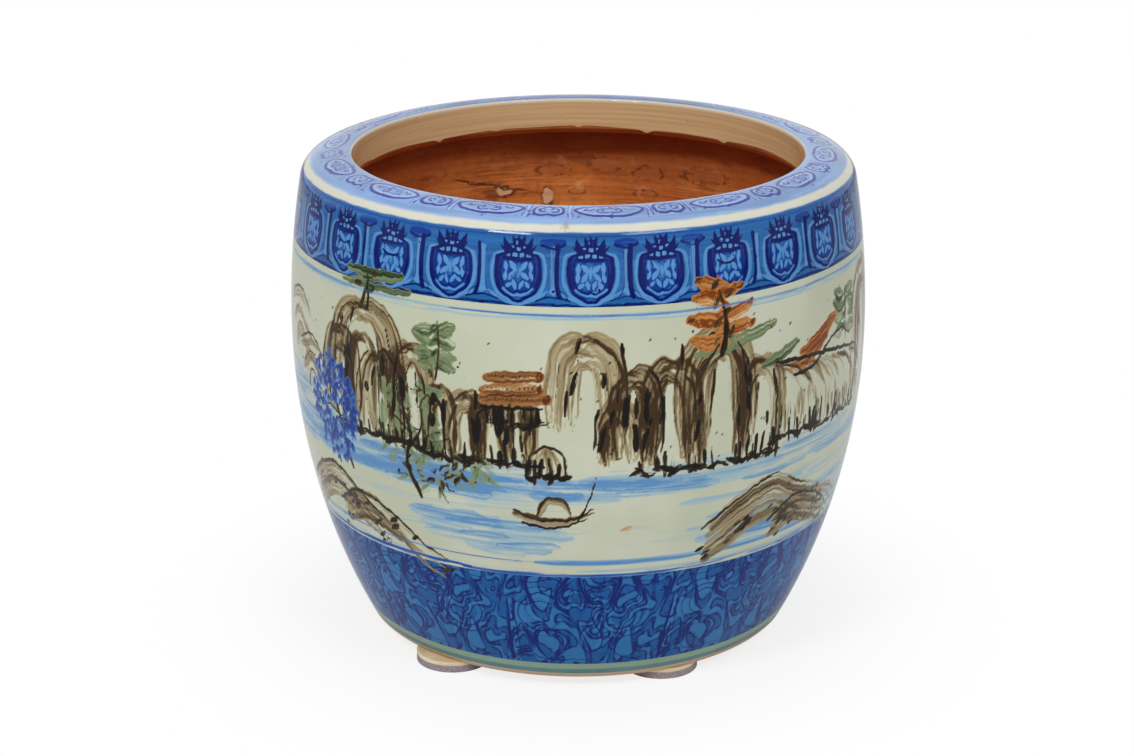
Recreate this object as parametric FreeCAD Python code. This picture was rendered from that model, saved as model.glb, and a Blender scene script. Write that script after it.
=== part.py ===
import FreeCAD, Part
import math
import os

# A round glazed jardiniere that stands on four stick-on felt glides.
# Millimetres, +Z up, -Y to the front. The origin is on the floor, under the middle of the pot.
# A height in the pot is counted from the flat bottom of its foot ring.

# Foot and floor of the pot
foot_radius = 146.5
foot_chamfer = 2.0
foot_ring_width = 20.0
foot_hollow_depth = 8.0
base_thickness = 13.0
floor_chamfer = 22.0
drain_radius = 12.0

# Thrown wall: it swells out from the foot to the belly and draws in again to the rim
wall_thickness = 10.5
belly_swell = 48.3
belly_height = 203.5
neck_in = 9.2
neck_up = 103.0

# Rim: a flange turned inwards, with its edge turned down as a lip
rim_width = 34.6
rim_corner_width = 8.6
rim_corner_rise = 10.5
rim_corner_bulge = 1.6
rim_crown_rise = 4.0
rim_crown_bulge = 1.5
rim_thickness = 13.0
lip_thickness = 10.0
lip_height = 26.0
lip_top_chamfer = 2.5
lip_bottom_chamfer = 3.5

# Glides: a plastic cap with a felt pad under it
glide_radius = 25.0
cap_thickness = 2.2
cap_edge_chamfer = 0.7
felt_thickness = 4.8

# How far each glide reaches past the foot ring
front_left_overhang = 8.0
front_right_overhang = 0.0
rear_right_overhang = 3.0
rear_left_overhang = 5.0

# Each glide's bearing from the front in degrees, to the right, and its overhang
glide_spots = {
    "front_left": (-40.2, front_left_overhang),
    "front_right": (26.7, front_right_overhang),
    "rear_right": (139.0, rear_right_overhang),
    "rear_left": (-152.0, rear_left_overhang),
}

# Places that follow from the sizes above
up = FreeCAD.Vector(0, 0, 1)
foot_height = felt_thickness + cap_thickness
belly_radius = foot_radius + belly_swell
rim_base_height = belly_height + neck_up
rim_base_radius = belly_radius - neck_in
rim_height = rim_base_height + rim_corner_rise + rim_crown_rise
mouth_radius = rim_base_radius - rim_width
groove_top = rim_height - rim_thickness
floor_height = foot_hollow_depth + base_thickness


def point(radius, height):
    """A point of the pot's section, which lies in the XZ plane."""
    return FreeCAD.Vector(radius, 0, foot_height + height)


def lines(*points):
    """Straight edges from each point to the next."""
    return [Part.LineSegment(a, b).toShape() for a, b in zip(points, points[1:])]


def bowed(start, end, bulge):
    """An arc from start to end that stands out by the bulge, to the right of the way it goes."""
    chord = end - start
    side = FreeCAD.Vector(chord.z, 0, -chord.x).normalize()
    middle = (start + end) / 2 + side * bulge
    return [Part.Arc(start, middle, end).toShape()]


def bend(out, tall):
    """The radius of an arc that starts upright and leads out by one length over another."""
    return (out * out + tall * tall) / (2 * out)


def wall_point(bend_radius, height, inset=0):
    """Where one of the wall's arcs is at a height. An inset moves it inwards, square to the arc.

    Both arcs stand upright at the belly, so the centre of each lies at the belly's height.
    """
    across = math.sqrt((bend_radius - inset) ** 2 - (height - belly_height) ** 2)
    return point(belly_radius - bend_radius + across, height)


def wall(low, high, inset=0):
    """The wall's line from a low height up to a high one: an arc below the belly and one above."""
    low_bend = bend(belly_swell, belly_height - foot_chamfer)
    high_bend = bend(neck_in, neck_up)
    edges = []
    for radius, start, end in ((low_bend, low, belly_height), (high_bend, belly_height, high)):
        stops = (start, (start + end) / 2, end)
        edges.append(Part.Arc(*[wall_point(radius, stop, inset) for stop in stops]).toShape())
    return edges


def start_of(edges):
    return edges[0].Vertexes[0].Point


def end_of(edges):
    return edges[-1].Vertexes[-1].Point


def foot_section():
    """From the drain hole's lower edge across the hollow underside and round the foot ring."""
    ring_inside = foot_radius - foot_ring_width
    return lines(
        point(drain_radius, foot_hollow_depth),
        point(ring_inside, foot_hollow_depth),
        point(ring_inside, foot_chamfer),
        point(ring_inside + foot_chamfer, 0),
        point(foot_radius - foot_chamfer, 0),
        point(foot_radius, foot_chamfer),
    )


def rim_section():
    """From the top of the wall over the rounded corner and the crown to the mouth."""
    base = point(rim_base_radius, rim_base_height)
    shoulder = point(rim_base_radius - rim_corner_width, rim_base_height + rim_corner_rise)
    crown_end = point(mouth_radius + lip_top_chamfer, rim_height)
    return bowed(base, shoulder, rim_corner_bulge) + bowed(shoulder, crown_end, rim_crown_bulge)


def lip_section(groove_side):
    """From the crown down the lip's face, round its lower edge and up into the groove behind it."""
    bottom = rim_height - lip_height
    back = mouth_radius + lip_thickness
    return lines(
        point(mouth_radius + lip_top_chamfer, rim_height),
        point(mouth_radius, rim_height - lip_top_chamfer),
        point(mouth_radius, bottom + lip_bottom_chamfer),
        point(mouth_radius + lip_bottom_chamfer, bottom),
        point(back - lip_bottom_chamfer, bottom),
        point(back, bottom + lip_bottom_chamfer),
        point(back, groove_top),
        groove_side,
    )


def floor_section(wall_end):
    """From the inner wall down to the floor and into the drain hole."""
    floor_edge = point(math.hypot(wall_end.x, wall_end.y) - floor_chamfer, floor_height)
    return lines(
        wall_end,
        floor_edge,
        point(drain_radius, floor_height),
        point(drain_radius, foot_hollow_depth),
    )


def make_jardiniere():
    """The pot is one turned section, swept once round its axis."""
    outer_wall = wall(foot_chamfer, rim_base_height)
    inner_wall = wall(floor_height + floor_chamfer, groove_top, wall_thickness)
    edges = foot_section() + outer_wall + rim_section()
    edges += lip_section(end_of(inner_wall)) + inner_wall + floor_section(start_of(inner_wall))
    section = Part.Face(Part.Wire(Part.__sortEdges__(edges)))
    return section.revolve(FreeCAD.Vector(), up, 360)


def disc(radius, thickness, base):
    return Part.makeCylinder(radius, thickness, base)


def make_glide(bearing, overhang):
    """One glide: a cap with a bevelled top edge and its felt pad, seated under the foot ring."""
    reach = foot_radius + overhang - glide_radius
    angle = math.radians(bearing)
    centre = FreeCAD.Vector(reach * math.sin(angle), -reach * math.cos(angle), 0)
    side_height = cap_thickness - cap_edge_chamfer
    cap_side = disc(glide_radius, side_height, centre + up * felt_thickness)
    bevel_base = centre + up * (felt_thickness + side_height)
    cap_bevel = Part.makeCone(glide_radius, glide_radius - cap_edge_chamfer, cap_edge_chamfer, bevel_base)
    return {
        "glide_cap": cap_side.fuse(cap_bevel).removeSplitter(),
        "felt_pad": disc(glide_radius, felt_thickness, centre),
    }


def make_parts():
    parts = {"jardiniere": make_jardiniere()}
    for spot, (bearing, overhang) in glide_spots.items():
        for piece, shape in make_glide(bearing, overhang).items():
            parts[piece + "_" + spot] = shape
    return parts


os.makedirs("parts", exist_ok=True)
for node, shape in make_parts().items():
    shape.exportStep("parts/" + node + ".step")
    print(node, "volume", round(shape.Volume), "valid", shape.isValid(), "solids", len(shape.Solids))
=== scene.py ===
# %% [markdown]
# # A painted porcelain jardiniere on felt glides
#
# The frame holds the pot and its four glides at their real size. This lesson dresses them: the ware is
# turned again as a fine mesh, and every zone of glaze becomes a thin coat of its own over it. Separate
# coats were chosen over one mesh with many materials, because each zone then has a short recipe and
# keeps its own texture space.

# %% Load the frame
import math
import random

import bmesh
import bpy
import numpy as np
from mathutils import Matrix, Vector


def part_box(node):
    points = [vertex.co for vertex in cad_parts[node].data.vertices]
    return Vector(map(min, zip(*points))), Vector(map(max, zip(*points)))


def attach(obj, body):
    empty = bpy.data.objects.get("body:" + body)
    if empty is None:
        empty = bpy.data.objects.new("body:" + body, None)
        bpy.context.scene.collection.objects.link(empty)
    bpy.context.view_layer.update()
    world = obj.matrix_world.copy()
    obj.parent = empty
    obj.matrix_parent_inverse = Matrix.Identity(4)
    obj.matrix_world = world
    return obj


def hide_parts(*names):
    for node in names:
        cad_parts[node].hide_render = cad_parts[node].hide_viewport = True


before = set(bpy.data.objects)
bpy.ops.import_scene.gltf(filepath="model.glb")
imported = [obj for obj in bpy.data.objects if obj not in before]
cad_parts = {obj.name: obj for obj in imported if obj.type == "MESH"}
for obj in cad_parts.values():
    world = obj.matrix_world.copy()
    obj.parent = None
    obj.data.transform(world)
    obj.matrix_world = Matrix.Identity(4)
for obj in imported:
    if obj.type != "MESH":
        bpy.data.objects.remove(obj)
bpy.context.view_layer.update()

MM = 0.001
print("pieces in the frame:", sorted(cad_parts))

# %% [markdown]
# ## Measures
#
# The overall sizes are read from the frame, so the coats follow the pot. The zones of the painting are
# heights above the floor, because a band's edge on a turned pot is one circle at one height. All
# lengths from here on are millimetres, and only the finished meshes are scaled to metres.

# %% Sizes from the frame, and the zones of the painting
pot_low, pot_high = [[c / MM for c in corner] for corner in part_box("jardiniere")]
foot_z = pot_low[2]
belly_radius = (pot_high[0] - pot_low[0]) / 2
foot_radius, foot_edge = 146.5, 2.0
belly_z = foot_z + 203.5
rim_base_radius, rim_base_z = belly_radius - 9.2, belly_z + 103.0
shoulder_radius, shoulder_z = rim_base_radius - 8.6, rim_base_z + 10.5
mouth_radius, rim_z = rim_base_radius - 34.6, rim_base_z + 14.5
mouth_edge = 2.5
corner_bulge, crown_bulge, mouth_bulge = 1.6, 1.5, 0.7
wall_thickness = 10.5
lip_radius, lip_low_z, lip_edge = mouth_radius + 10.0, rim_z - 26.0, 3.5
groove_z = rim_z - 13.0
drain_radius = 12.0
ring_inside = foot_radius - 20.0
floor_z, hollow_z = foot_z + 21.0, foot_z + 8.0

glaze_end_z = 10.8
foot_line_z = 19.5
low_band_z = 92.5
high_band_z = 274.6
band_top_z = 318.6
coat = 0.4
print("pot", round(2 * belly_radius, 1), "mm across,", round(pot_high[2], 1), "mm high")

# %% [markdown]
# ## The outline of the pot
#
# The outside of the wall is two circular arcs that meet upright at the belly. The rim adds a tight arc
# for its rounded corner and a shallow one for its crown. A formula for each arc gives as many points
# as a coat needs, so that all coats follow the same outline without a list of points.

# %% Outline formulas
def bend(out, tall):
    """The radius of an arc that starts upright and leads out by one length over another."""
    return (out * out + tall * tall) / (2 * out)


low_bend = bend(belly_radius - foot_radius, belly_z - foot_z - foot_edge)
high_bend = bend(belly_radius - rim_base_radius, rim_base_z - belly_z)


def wall_radius(z, inset=0.0):
    """How far out the wall is at a height. An inset moves it inwards, square to the wall."""
    radius = low_bend if z < belly_z else high_bend
    return belly_radius - radius + math.sqrt((radius - inset) ** 2 - (z - belly_z) ** 2)


def steps(start, end, size):
    """Evenly spaced values from start to end, about one size apart."""
    count = max(1, round(abs(end - start) / size))
    return [start + (end - start) * i / count for i in range(count + 1)]


def wall_points(start_z, end_z, size, inset=0.0):
    return [(wall_radius(z, inset), z) for z in steps(start_z, end_z, size)]


def arc_points(start, end, bulge, size):
    """Points of an arc from start to end that stands out by the bulge, to the right of the way it goes."""
    a, b = np.array(start, float), np.array(end, float)
    chord = b - a
    length = np.hypot(*chord)
    side = np.array([chord[1], -chord[0]]) / length
    radius = (length ** 2 / 4 + bulge ** 2) / (2 * bulge)
    centre = (a + b) / 2 - side * (radius - bulge)
    half = math.asin(length / 2 / radius)
    turns = steps(-half, half, size / radius)
    return [tuple(centre + radius * (side * math.cos(t) + chord / length * math.sin(t))) for t in turns]


def set_in(points, depth):
    """The same line moved to its left by a depth, which is inwards for a line that climbs the outside."""
    line = np.array(points, float)
    along = np.gradient(line, axis=0)
    along /= np.linalg.norm(along, axis=1)[:, None]
    return [tuple(p) for p in line + depth * np.column_stack([-along[:, 1], along[:, 0]])]


rim_base, shoulder = (rim_base_radius, rim_base_z), (shoulder_radius, shoulder_z)
crown_end = (mouth_radius + mouth_edge, rim_z)
rim_line = (arc_points(rim_base, shoulder, corner_bulge, 0.5)[:-1]
            + arc_points(shoulder, crown_end, crown_bulge, 0.6))
mouth_line = arc_points(crown_end, (mouth_radius, rim_z - mouth_edge), mouth_bulge, 0.5)

# The point of the mouth's edge where the rim's coat ends and the lip's begins
mouth_join = 3
print("points on the rim", len(rim_line), "and on the mouth edge", len(mouth_line))


# %% [markdown]
# ## Turning a ring
#
# A potter throws the pot on a wheel. The same idea makes each ring here: one vertex is extruded from
# point to point along the section, the last is joined to the first, and a Screw modifier sweeps the
# section round the axis. Screw was chosen over Spin because it stays quick with thousands of faces. A
# sector of a ring, which keeps a fine piece light enough, gets its two ends filled.

# %% Lathe helper
def deselect_all():
    if bpy.context.object and bpy.context.object.mode != "OBJECT":
        bpy.ops.object.mode_set(mode="OBJECT")
    bpy.ops.object.select_all(action="DESELECT")


def apply_modifier(piece, kind, **settings):
    bpy.ops.object.modifier_add(type=kind)
    modifier = piece.modifiers[-1]
    for name, value in settings.items():
        setattr(modifier, name, value)
    bpy.ops.object.modifier_apply(modifier=modifier.name)


SHARP = math.radians(35)


def turned(name, section, segments=360, start=-180, sweep=360):
    """A closed ring or sector, turned from a closed section of (radius, height) points in millimetres.

    The start and the sweep are in degrees round the pot from its front, to the right."""
    deselect_all()
    bpy.ops.mesh.primitive_plane_add(size=MM, location=(0, 0, 0))
    ring = bpy.context.object
    ring.name = ring.data.name = name
    bpy.ops.object.mode_set(mode="EDIT")
    bpy.ops.mesh.select_all(action="SELECT")
    bpy.ops.mesh.merge(type="CENTER")
    radius, height = section[0]
    bpy.ops.transform.translate(value=(radius * MM, 0, height * MM))
    for (r0, z0), (r1, z1) in zip(section, section[1:]):
        move = ((r1 - r0) * MM, 0, (z1 - z0) * MM)
        bpy.ops.mesh.extrude_region_move(TRANSFORM_OT_translate={"value": move})
    mesh = bmesh.from_edit_mesh(ring.data)
    ends = [v for v in mesh.verts if len(v.link_edges) == 1]
    for vert in mesh.verts:
        vert.select = vert in ends
    bmesh.update_edit_mesh(ring.data)
    bpy.ops.mesh.edge_face_add()
    bpy.ops.mesh.select_all(action="SELECT")
    bpy.ops.transform.rotate(value=math.radians(90 - start), orient_axis="Z", center_override=(0, 0, 0))
    bpy.ops.object.mode_set(mode="OBJECT")
    apply_modifier(ring, "SCREW", axis="Z", angle=math.radians(sweep), steps=segments,
                   render_steps=segments, use_merge_vertices=sweep == 360, merge_threshold=0.002 * MM)
    bpy.ops.object.mode_set(mode="EDIT")
    bpy.ops.mesh.select_all(action="SELECT")
    if sweep == 360:
        bpy.ops.mesh.remove_doubles(threshold=0.004 * MM)
    else:
        bpy.ops.mesh.fill_holes(sides=0)
        bpy.ops.mesh.select_all(action="SELECT")
    bpy.ops.mesh.normals_make_consistent(inside=False)
    bpy.ops.object.mode_set(mode="OBJECT")
    bpy.ops.object.shade_smooth_by_angle(angle=SHARP)
    return ring


def coat_section(outside):
    """A thin closed section: the fine outside points, and a coarser line one coat further in."""
    inside = set_in(outside, coat)[::-1]
    return outside + inside[:-1:6] + inside[-1:]


def places_of(piece):
    """Where each vertex of a piece is, in metres."""
    places = np.empty(len(piece.data.vertices) * 3)
    piece.data.vertices.foreach_get("co", places)
    return places.reshape(-1, 3)


def report(piece):
    faces = sum(len(p.vertices) - 2 for p in piece.data.polygons)
    print(piece.name, "triangles", faces, "size mm", np.round(np.ptp(places_of(piece), axis=0) / MM, 1))


# %% [markdown]
# ## The ware
#
# Under the glaze is one thrown body: a wall of even thickness, a rim turned in to a flat flange, and a
# lip turned down from it with a groove behind. It could be a revolved solid again, but a mesh can show
# what the fingers left inside: shallow throwing rings all the way up the wall. Where a glaze coat
# covers the body, the body is set in by a little more than the coat, so the two never share a surface.

# %% Body section
under = coat + 0.06
throwing = random.Random(4)
ring_phase = [throwing.uniform(0, math.tau) for _ in range(3)]


def throwing_rings(z):
    """How far the inside wall waves in and out, from rings about 5 and 13 millimetres apart."""
    return (0.12 * math.sin(z * math.tau / 5.3 + ring_phase[0] + 2.5 * math.sin(z / 31))
            + 0.3 * math.sin(z * math.tau / 17.1 + ring_phase[1] + math.sin(z / 23)))


outside = ([(foot_radius - foot_edge, foot_z), (foot_radius, foot_z + foot_edge),
            (wall_radius(glaze_end_z), glaze_end_z)]
           + wall_points(glaze_end_z + 0.1, rim_base_z, 6, under)
           + set_in(rim_line[1:-1], under)[::2]
           + set_in(mouth_line, under)[::2]
           + [(mouth_radius + under, z) for z in steps(rim_z - 6, lip_low_z + lip_edge, 4)])
lip_bottom = [(mouth_radius + lip_edge, lip_low_z), (mouth_radius + 6.5, lip_low_z),
              (lip_radius, lip_low_z + lip_edge), (lip_radius, groove_z)]
under_corner = set_in(arc_points(rim_base, shoulder, corner_bulge, 3), wall_thickness)
inside_top = [p for p in under_corner[::-1] if p[1] < groove_z]
inside_wall = [(wall_radius(z, wall_thickness) + throwing_rings(z), z)
               for z in steps(rim_base_z - 2, foot_z + 45.0, 1.3)]
turn_in = wall_radius(foot_z + 43.0, wall_thickness) - 0.6, foot_z + 43.0
floor_edge = turn_in[0] - 22.0, floor_z
cove = arc_points(floor_edge, turn_in, 2.5, 3)[::-1]
bottom = [(r, floor_z) for r in steps(floor_edge[0] - 4, drain_radius + 2.0, 8)]
drain = [(drain_radius + 0.6, floor_z - 0.6), (drain_radius, floor_z - 2.0),
         (drain_radius, hollow_z + 1.0), (drain_radius + 1.0, hollow_z)]
underside = [(r, hollow_z) for r in steps(30, ring_inside, 16)] + [(ring_inside + foot_edge, foot_z)]
groove_top = [(inside_top[0][0] - 0.3, groove_z)]
body_section = (outside + lip_bottom + groove_top + inside_top + inside_wall + cove + bottom + drain
                + underside)
ware_body = turned("ware_body", body_section, segments=280)
report(ware_body)
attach(ware_body, "root")
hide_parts("jardiniere")

# %% [markdown]
# ## The glaze coats
#
# On the real pot the glaze is one skin whose colours meet at painted lines. Here each zone is a closed
# shell 0.4 millimetres thick, fine enough to carry the painting in its vertices. The wide zones are
# cut into sectors, so that no piece is heavier than the rest of a scene can bear.

# %% Coats
coats = {}
LOW_BAND_RADIUS, HIGH_BAND_RADIUS = 168, 190


def add_coat(name, outside, segments, start=-180, sweep=360):
    piece = turned(name, coat_section(outside), segments, start, sweep)
    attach(piece, "root")
    report(piece)
    coats[name] = piece
    return piece


corner_start = [p for p in rim_line if p[1] < band_top_z]
corner_rest = rim_line[len(corner_start) - 1:]

# Each sector of the picture, and the spacing of its points round the pot and up it
for side, start, across, up in (("front", -45, 0.8, 0.84), ("right", 45, 0.86, 0.86),
                                ("back", 135, 1.1, 1.1), ("left", -135, 0.86, 0.86)):
    add_coat("picture_glaze_" + side, wall_points(low_band_z, high_band_z, up),
             round(math.pi / 2 * belly_radius / across), start, 90)
for side, start in (("front", -90), ("back", 90)):
    fine = 0.68 if side == "front" else 0.9
    add_coat("lower_band_glaze_" + side, wall_points(foot_line_z, low_band_z, fine),
             round(math.pi * LOW_BAND_RADIUS / fine), start, 180)
    fine = 0.57 if side == "front" else 0.8
    add_coat("upper_band_glaze_" + side, wall_points(high_band_z, rim_base_z - 0.5, fine) + corner_start,
             round(math.pi * HIGH_BAND_RADIUS / fine), start, 180)
add_coat("rim_glaze", corner_rest + mouth_line[1:mouth_join + 1], 1350)
add_coat("foot_glaze", wall_points(glaze_end_z, foot_line_z, 0.8), 360)

# %% [markdown]
# ## Brush and sheet
#
# The painting was laid by hand with loaded brushes on the raw glaze. Image files are not wanted here, so
# a sheet of numbers is wrapped once round the pot, and each pigment is a layer of densities on it. A
# stroke follows a smoothed path. Across its width it has bristles, each with its own load, and those
# with little colour run dry before the end, which gives the streaks of a real brush.

# %% Sheet helper
SHEET_RADIUS = 195.0

# Turns round the pot, height and weight of each wave in a hand's wandering
WAVES = ((97, 17.0, 0.3), (151, 11.0, 0.27), (233, 7.3, 0.22), (61, 29.0, 0.21))


def smooth_step(value, low, high):
    t = np.clip((value - low) / (high - low), 0, 1)
    return t * t * (3 - 2 * t)


def smooth_path(points, size=2.2):
    """A Catmull-Rom line through the points, as places about one size apart."""
    p = np.array(points, float)
    if len(p) == 2:
        p = np.array([p[0], p.mean(0), p[1]])
    p = np.vstack([2 * p[0] - p[1], p, 2 * p[-1] - p[-2]])
    line = []
    for a, b, c, d in zip(p, p[1:], p[2:], p[3:]):
        count = max(2, int(np.hypot(*(c - b)) / size))
        t = (np.arange(count) / count)[:, None]
        line.append(0.5 * (2 * b + (c - a) * t + (2 * a - 5 * b + 4 * c - d) * t ** 2
                           + (3 * b - a - 3 * c + d) * t ** 3))
    return np.vstack(line + [p[-2:-1]])


def unsteady(x, z, phase):
    """A smooth wandering value between -1 and 1, from waves of unlike length and direction."""
    turn = 2 * math.pi * SHEET_RADIUS
    total = 0
    for k, (turns, tall, weight) in enumerate(WAVES):
        bent = 2.4 * np.sin(z / tall + phase + k)
        total = total + weight * np.sin(x * math.tau * turns / turn + bent + 3.1 * k + phase
                                        + z / (tall * 0.6))
    return total


def blend(table, row, column, i, j, j_next):
    """A table's value between its rows and columns."""
    a, b = row - i, column - j
    return ((table[i, j % table.shape[1]] * (1 - a) + table[i + 1, j % table.shape[1]] * a) * (1 - b)
            + (table[i, j_next] * (1 - a) + table[i + 1, j_next] * a) * b)


ROUND = ((0, 1), (1, 1))
LEAF = ((0, 0.45), (0.35, 1), (0.8, 0.95), (1, 0.6))
TAIL = ((0, 0.55), (0.15, 1), (0.6, 0.85), (1, 0.12))
LINE = ((0, 0.7), (0.1, 1), (0.8, 0.7), (1, 0.25))


class Sheet:
    """A sheet wrapped once round the pot. x runs to the right from its front, in mm at its radius."""

    def __init__(self, low, high, pixel, pigments):
        self.low, self.pixel = low, pixel
        self.half = math.pi * SHEET_RADIUS
        self.columns, self.rows = round(2 * self.half / pixel), round((high - low) / pixel)
        self.layers = {name: np.zeros((self.rows, self.columns), np.float32) for name in pigments}

    def patch(self, x_low, x_high, z_low, z_high):
        """Columns and rows of a patch, and the place of each of its pixels."""
        columns = np.arange(math.floor((x_low + self.half) / self.pixel),
                            math.ceil((x_high + self.half) / self.pixel) + 1)
        rows = np.arange(max(0, math.floor((z_low - self.low) / self.pixel)),
                         min(self.rows, math.ceil((z_high - self.low) / self.pixel) + 1))
        x, z = np.meshgrid((columns + 0.5) * self.pixel - self.half, (rows + 0.5) * self.pixel + self.low)
        return np.ix_(rows, columns % self.columns), x, z

    def stroke(self, pigment, path, width, load=0.8, dry=0.0, shape=TAIL, pool=0.15, streak=0.66, seed=0):
        """One brush stroke. Dry is the part of the bristles that have run out of colour at its end, and
        streak is how unlike each other the bristles are."""
        line = smooth_path(path)
        reach = width / 2 + 1
        (x_low, z_low), (x_high, z_high) = line.min(0) - reach, line.max(0) + reach
        where, x, z = self.patch(x_low, x_high, z_low, z_high)
        if x.size == 0:
            return
        start, leg = line[:-1], np.diff(line, axis=0)
        length = np.hypot(leg[:, 0], leg[:, 1]) + 1e-6
        along = np.concatenate([[0], np.cumsum(length)])
        px, pz = x.ravel()[:, None], z.ravel()[:, None]
        u = np.clip(((px - start[:, 0]) * leg[:, 0] + (pz - start[:, 1]) * leg[:, 1]) / length ** 2, 0, 1)
        dx, dz = px - start[:, 0] - u * leg[:, 0], pz - start[:, 1] - u * leg[:, 1]
        gap = dx * dx + dz * dz
        near = gap.argmin(1)
        pick = (np.arange(len(near)), near)
        t = (along[near] + u[pick] * length[near]) / along[-1]
        side = np.sign(leg[near, 0] * dz[pick] - leg[near, 1] * dx[pick])
        half = np.interp(t, *zip(*shape)) * width / 2
        r = side * np.sqrt(gap[pick]) / half
        rng = np.random.default_rng(seed)
        lean = rng.uniform(-0.55, 0.55)
        bristles, turns = max(3, int(width / 0.85)), max(2, int(along[-1] / 12))
        loaded = rng.random((turns + 1, bristles + 1)) * 0.4 + rng.random(bristles + 1) * 0.6
        table = smooth_step(loaded, 0.1, 0.9)
        row, column = t * turns, np.clip((r + 1) / 2, 0, 1) * bristles
        i, j = np.minimum(row.astype(int), turns - 1), np.minimum(column.astype(int), bristles - 1)
        grain = blend(table, row, column, i, j, j + 1)
        soft = self.pixel / half
        density = (load * smooth_step(1 + soft - np.abs(r), 0, 2 * soft)
                   * (1 - streak + 2 * streak * grain) * (1 + lean * r))
        density *= smooth_step(grain - dry * (0.25 + 0.75 * t), -0.08, 0.14)
        density += pool * smooth_step(np.abs(r), 0.55, 0.9) * (density > 0.15 * load)
        density, below = density.reshape(x.shape).astype(np.float32), self.layers[pigment][where]
        self.layers[pigment][where] = np.maximum(below, density) + 0.3 * np.minimum(below, density)

    def at(self, pigment, x, z, wander=0.0):
        """Densities at places on the sheet. A hand's wander shifts the places by up to that many mm."""
        layer = self.layers[pigment]
        if wander:
                x, z = x + wander * unsteady(x, z, 1), z + wander * unsteady(x, z, 5)
        column = (x + self.half) / self.pixel - 0.5
        row = np.clip((z - self.low) / self.pixel - 0.5, 0, self.rows - 1.001)
        i, j = row.astype(int), np.floor(column).astype(int)
        return blend(layer, row, column, i, j, (j + 1) % self.columns)


picture = Sheet(foot_line_z, 330.0, 0.5, ("ink", "olive", "green", "rust", "roof", "water", "cobalt"))
print("picture sheet", picture.columns, "by", picture.rows)

# %% [markdown]
# ## Rocks, trees and water
#
# The scene is built from the few strokes that a quick porcelain painter repeats. A cliff is a row of
# arches, each a nest of broad dry strokes that turn over at the top and run down to the water, with
# black dabs in the hollows. A tree is a stack of oval dabs, and the water is long dry streaks. Each
# motif is one function, so a scene is a list of places, and a seed keeps it the same on each run.

# %% Brush helpers
brush = random.Random(11)
SEEDS = 1 << 30
ARCHING = ((0, 0.25), (0.12, 0.8), (0.3, 1), (0.8, 0.9), (1, 0.45))
ROOFING = ((0, 0.7), (0.2, 1), (1, 0.85))
WATERY = ((0, 0.5), (0.1, 1), (1, 0.7))
LAPPING = ((0, 0.5), (0.1, 1), (0.9, 1), (1, 0.5))


def near(value, spread):
    return value + brush.uniform(-spread, spread)


def around(x, z, *offsets):
    """Places given by their offsets from one place."""
    return [(x + dx, z + dz) for dx, dz in offsets]


def lay(pigment, path, width, load=0.8, dry=0.0, pool=0.0, **options):
    """A stroke of the picture, with a seed of its own."""
    picture.stroke(pigment, path, width, load, dry, pool=pool, seed=brush.randrange(SEEDS), **options)


def dab(x, z, long, wide, tilt=0.0, load=1.1, dry=0.0, pigment="ink", pool=0.0):
    """A short pressed mark, turned by a tilt in degrees from upright."""
    a = math.radians(near(tilt, 8))
    dx, dz = long / 2 * math.sin(a), long / 2 * math.cos(a)
    lay(pigment, [(x - dx, z - dz), (x + dx, z + dz)], wide, load, dry, pool, shape=LEAF)


def outline(points, width=1.8, load=0.9, dry=0.45):
    """A broken black line along a form."""
    lay("ink", points, width, load, dry, shape=LINE)


print("a stroke keeps one seed out of", SEEDS)


# %% Rocks
def arch(x, top, left, right, foot, rings=2, width=8.0, load=0.6):
    """Nested strokes that turn over at the top of a rock and run down both its sides."""
    lean = near(0, 3)
    for ring in range(rings):
        k = ring / (rings + 0.35)
        peak = top - near(9.5, 2) * ring
        tall = peak - foot
        for side, reach in ((-1, left), (1, right)):
            out = reach * (1 - k) * near(1, 0.08)
            if out < width * 0.5:
                continue
            low = foot + brush.uniform(0, 0.1) * tall
            over = -side * min(5.0, out * 0.3)
            path = [(x + over, peak - 3.5),
                    (x + lean + side * out * 0.35, peak + near(0, 1.2)),
                    (x + side * out * 0.84, peak - 0.15 * tall),
                    (x + side * out * near(1.0, 0.05), peak - 0.4 * tall),
                    (x + side * out * near(1.02, 0.07), peak - 0.72 * tall),
                    (x + side * out * near(1.0, 0.1), low)]
            wide = width * near(0.95, 0.22)
            if ring == 0:
                shadow = [(px - side * wide * 0.3, pz - 3) for px, pz in path[1:]]
                lay("olive", shadow, wide * 1.9, 0.3, 0.3, streak=0.6)
            lay("olive", path, wide, load * near(1, 0.25), 0.5 * near(1, 0.3), 0.06, shape=ARCHING)
            if brush.random() < 0.5:
                inner = [(px + side * wide * near(0, 0.3), pz - 2) for px, pz in path[1:]]
                lay("olive", inner, wide * 0.35, 0.9, 0.55)
            if brush.random() < 0.8:
                shift = side * wide * brush.choice((-0.46, 0.46, 0.46))
                part = path[1:] if brush.random() < 0.5 else path[2:5]
                outline([(px + shift, pz + near(0, 2)) for px, pz in part], near(1.9, 0.8), 0.75, 0.62)
    cap = around(x + lean, top, (-left * 0.45, -5), (0, -1.5), (right * 0.5, -6))
    lay("olive", cap, width * 0.8, load, 0.45)
    for _ in range(rings + 2):
        side = brush.choice((-1, 1))
        reach = left if side < 0 else right
        dab(x + side * brush.uniform(0.25, 1.0) * reach, top - brush.uniform(0.1, 0.75) * (top - foot),
            brush.uniform(5, 18), brush.uniform(2.0, 4.4), -side * 7, 1.0, 0.3)


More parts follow.
